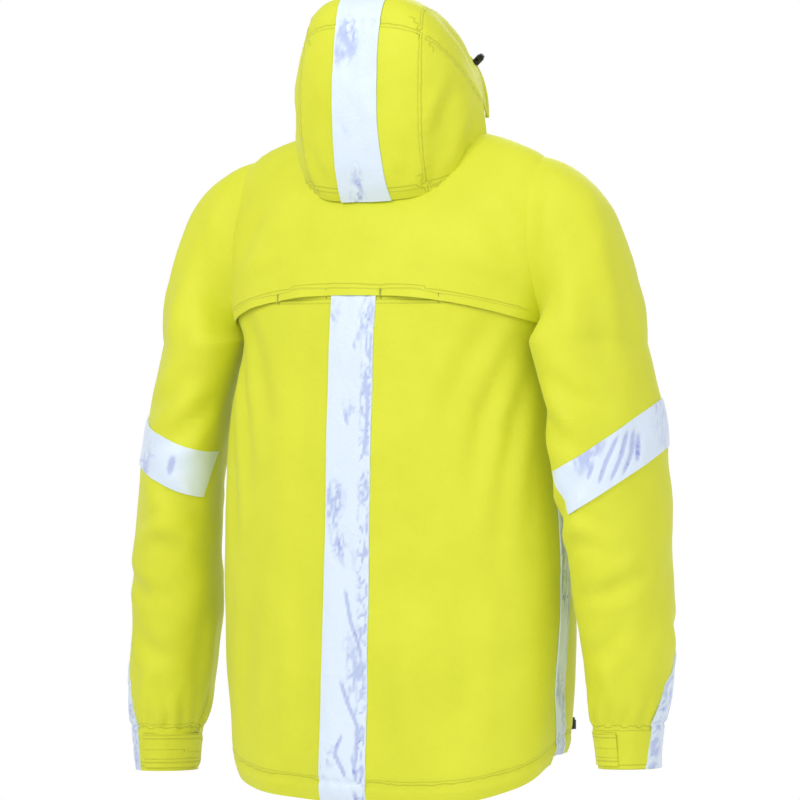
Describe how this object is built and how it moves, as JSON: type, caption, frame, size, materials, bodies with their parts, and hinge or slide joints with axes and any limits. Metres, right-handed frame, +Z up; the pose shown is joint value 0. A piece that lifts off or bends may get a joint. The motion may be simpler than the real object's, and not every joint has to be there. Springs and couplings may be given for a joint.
{
  "type": "foul weather jacket",
  "caption": "Hooded foul weather jacket with a vented back yoke, reflective tapes, a two-way front zip, zipped pockets and cuff tabs, hung open as if worn.",
  "frame": {"origin": "top of the hanger loop inside the back of the neck", "axes": "+Z up along the wearer, -Y the way the wearer faces, +X the wearer's left"},
  "size_m": [0.7742, 0.3226, 1.0401],
  "materials": {
    "shell_cloth": "matt coated nylon",
    "collar_cloth": "matt coated nylon",
    "reflective_tape": "satin reflective film",
    "lining_mesh": "knitted mesh",
    "dark_webbing": "woven",
    "thread": "dense stitching",
    "zip_chain": "moulded",
    "zip_metal": "black enamel",
    "toggle_plastic": "moulded"
  },
  "bodies": {
    "body": {"back_panel": "shell_cloth", "back_yoke": "shell_cloth", "back_tape": "reflective_tape", "back_lining": "lining_mesh", "collar": "collar_cloth", "hanger_loop": "dark_webbing", "vent_bar_tacks": "thread", "hem_toggles": "toggle_plastic", "front_yoke_left": "shell_cloth", "front_yoke_right": "shell_cloth", "side_panel_left": "shell_cloth", "side_panel_right": "shell_cloth", "side_tape_left": "reflective_tape", "side_tape_right": "reflective_tape", "zip_chain_upper_left": "zip_chain", "zip_chain_upper_right": "zip_chain"},
    "hood": {"hood_nape": "shell_cloth", "hood_crown_centre": "shell_cloth", "hood_crown_left": "shell_cloth", "hood_crown_right": "shell_cloth", "hood_tape_nape": "reflective_tape", "hood_tape_crown": "reflective_tape", "hood_toggles": "toggle_plastic"},
    "zip_slider_top": {"zip_slider_top": "zip_metal"},
    "zip_puller_top": {"zip_puller_top": "zip_metal"},
    "zip_slider_low": {"zip_slider_low": "zip_metal"},
    "zip_puller_low": {"zip_puller_low": "zip_metal"},
    "sleeve_upper_left": {"sleeve_head_left": "shell_cloth", "sleeve_upper_left": "shell_cloth"},
    "sleeve_lower_left": {"sleeve_elbow_left": "shell_cloth", "elbow_tape_left": "reflective_tape", "sleeve_lower_left": "shell_cloth", "sleeve_cuff_left": "shell_cloth", "cuff_tape_left": "reflective_tape"},
    "cuff_tab_left": {"cuff_tab_left": "shell_cloth"},
    "front_left": {"front_panel_left": "shell_cloth", "zip_chain_lower_left": "zip_chain", "pocket_zip_left": "zip_chain", "pocket_bag_left": "lining_mesh"},
    "pocket_slider_left": {"pocket_slider_left": "zip_metal"},
    "pocket_puller_left": {"pocket_puller_left": "zip_metal"},
    "hood_button_left": {"hood_button_left": "toggle_plastic"},
    "hem_button_left": {"hem_button_left": "toggle_plastic"},
    "sleeve_upper_right": {"sleeve_head_right": "shell_cloth", "sleeve_upper_right": "shell_cloth"},
    "sleeve_lower_right": {"sleeve_elbow_right": "shell_cloth", "elbow_tape_right": "reflective_tape", "sleeve_lower_right": "shell_cloth", "sleeve_cuff_right": "shell_cloth", "cuff_tape_right": "reflective_tape"},
    "cuff_tab_right": {"cuff_tab_right": "shell_cloth"},
    "front_right": {"front_panel_right": "shell_cloth", "zip_chain_lower_right": "zip_chain", "pocket_zip_right": "zip_chain", "pocket_bag_right": "lining_mesh"},
    "pocket_slider_right": {"pocket_slider_right": "zip_metal"},
    "pocket_puller_right": {"pocket_puller_right": "zip_metal"},
    "hood_button_right": {"hood_button_right": "toggle_plastic"},
    "hem_button_right": {"hem_button_right": "toggle_plastic"}
  },
  "joints": [
    {"name": "hood_fold", "type": "hinge", "parent": "body", "child": "hood", "pos_m": [0, 0.0585, -0.066], "axis": [-1, 0, 0], "range_deg": [0, 95], "deforming": ["hood_nape", "hood_tape_nape"]},
    {"name": "zip_slider_top_slide", "type": "slide", "parent": "body", "child": "zip_slider_top", "axis": [0, -0.07, -0.9975], "range_m": [0, 0.226]},
    {"name": "zip_puller_top_hinge", "type": "hinge", "parent": "zip_slider_top", "child": "zip_puller_top", "pos_m": [0, -0.1358, -0.00301], "axis": [-1, 0, 0], "range_deg": [0, 120]},
    {"name": "zip_slider_low_slide", "type": "slide", "parent": "body", "child": "zip_slider_low", "axis": [0, 0.07, 0.9975], "range_m": [0, 0.45]},
    {"name": "zip_puller_low_hinge", "type": "hinge", "parent": "zip_slider_low", "child": "zip_puller_low", "pos_m": [0, -0.19007, -0.77599], "axis": [-1, 0, 0], "range_deg": [0, 120]},
    {"name": "shoulder_left", "type": "hinge", "parent": "body", "child": "sleeve_upper_left", "pos_m": [0.215, -0.0335, -0.101], "axis": [0, -1, 0], "range_deg": [0, 75], "deforming": ["sleeve_head_left"]},
    {"name": "elbow_left", "type": "hinge", "parent": "sleeve_upper_left", "child": "sleeve_lower_left", "pos_m": [0.314, -0.0175, -0.463], "axis": [-1, 0, 0], "range_deg": [0, 85], "deforming": ["sleeve_elbow_left", "elbow_tape_left"]},
    {"name": "cuff_tab_left_peel", "type": "hinge", "parent": "sleeve_lower_left", "child": "cuff_tab_left", "pos_m": [0.344, 0.0188, -0.794], "axis": [0, -0.0973, -0.9953], "range_deg": [0, 100]},
    {"name": "front_left_open", "type": "hinge", "parent": "body", "child": "front_left", "pos_m": [0.188, -0.139, -0.558], "axis": [0, 0, 1], "range_deg": [0, 65]},
    {"name": "pocket_slider_left_slide", "type": "slide", "parent": "front_left", "child": "pocket_slider_left", "axis": [0, -0.0615, -0.9981], "range_m": [0, 0.14]},
    {"name": "pocket_puller_left_hinge", "type": "hinge", "parent": "pocket_slider_left", "child": "pocket_puller_left", "pos_m": [0.12958, -0.16133, -0.51944], "axis": [-0.9563, -0.2918, 0.018], "range_deg": [0, 110]},
    {"name": "hood_button_left_press", "type": "slide", "parent": "hood", "child": "hood_button_left", "axis": [-0.7431, 0, -0.6691], "range_m": [0, 0.003], "stiffness_N_per_m": 400, "springref_m": -0.002},
    {"name": "hem_button_left_press", "type": "slide", "parent": "body", "child": "hem_button_left", "axis": [0, 0, -1], "range_m": [0, 0.003], "stiffness_N_per_m": 400, "springref_m": -0.002},
    {"name": "shoulder_right", "type": "hinge", "parent": "body", "child": "sleeve_upper_right", "pos_m": [-0.215, -0.0335, -0.101], "axis": [0, 1, 0], "range_deg": [0, 75], "deforming": ["sleeve_head_right"]},
    {"name": "elbow_right", "type": "hinge", "parent": "sleeve_upper_right", "child": "sleeve_lower_right", "pos_m": [-0.314, -0.0175, -0.463], "axis": [-1, 0, 0], "range_deg": [0, 85], "deforming": ["sleeve_elbow_right", "elbow_tape_right"]},
    {"name": "cuff_tab_right_peel", "type": "hinge", "parent": "sleeve_lower_right", "child": "cuff_tab_right", "pos_m": [-0.344, 0.0188, -0.794], "axis": [0, 0.0973, 0.9953], "range_deg": [0, 100]},
    {"name": "front_right_open", "type": "hinge", "parent": "body", "child": "front_right", "pos_m": [-0.188, -0.139, -0.558], "axis": [0, 0, -1], "range_deg": [0, 65]},
    {"name": "pocket_slider_right_slide", "type": "slide", "parent": "front_right", "child": "pocket_slider_right", "axis": [0, -0.0615, -0.9981], "range_m": [0, 0.14]},
    {"name": "pocket_puller_right_hinge", "type": "hinge", "parent": "pocket_slider_right", "child": "pocket_puller_right", "pos_m": [-0.12958, -0.16133, -0.51944], "axis": [-0.9563, 0.2918, -0.018], "range_deg": [0, 110]},
    {"name": "hood_button_right_press", "type": "slide", "parent": "hood", "child": "hood_button_right", "axis": [0.7431, 0, -0.6691], "range_m": [0, 0.003], "stiffness_N_per_m": 400, "springref_m": -0.002},
    {"name": "hem_button_right_press", "type": "slide", "parent": "body", "child": "hem_button_right", "axis": [0, 0, -1], "range_m": [0, 0.003], "stiffness_N_per_m": 400, "springref_m": -0.002}
  ]
}
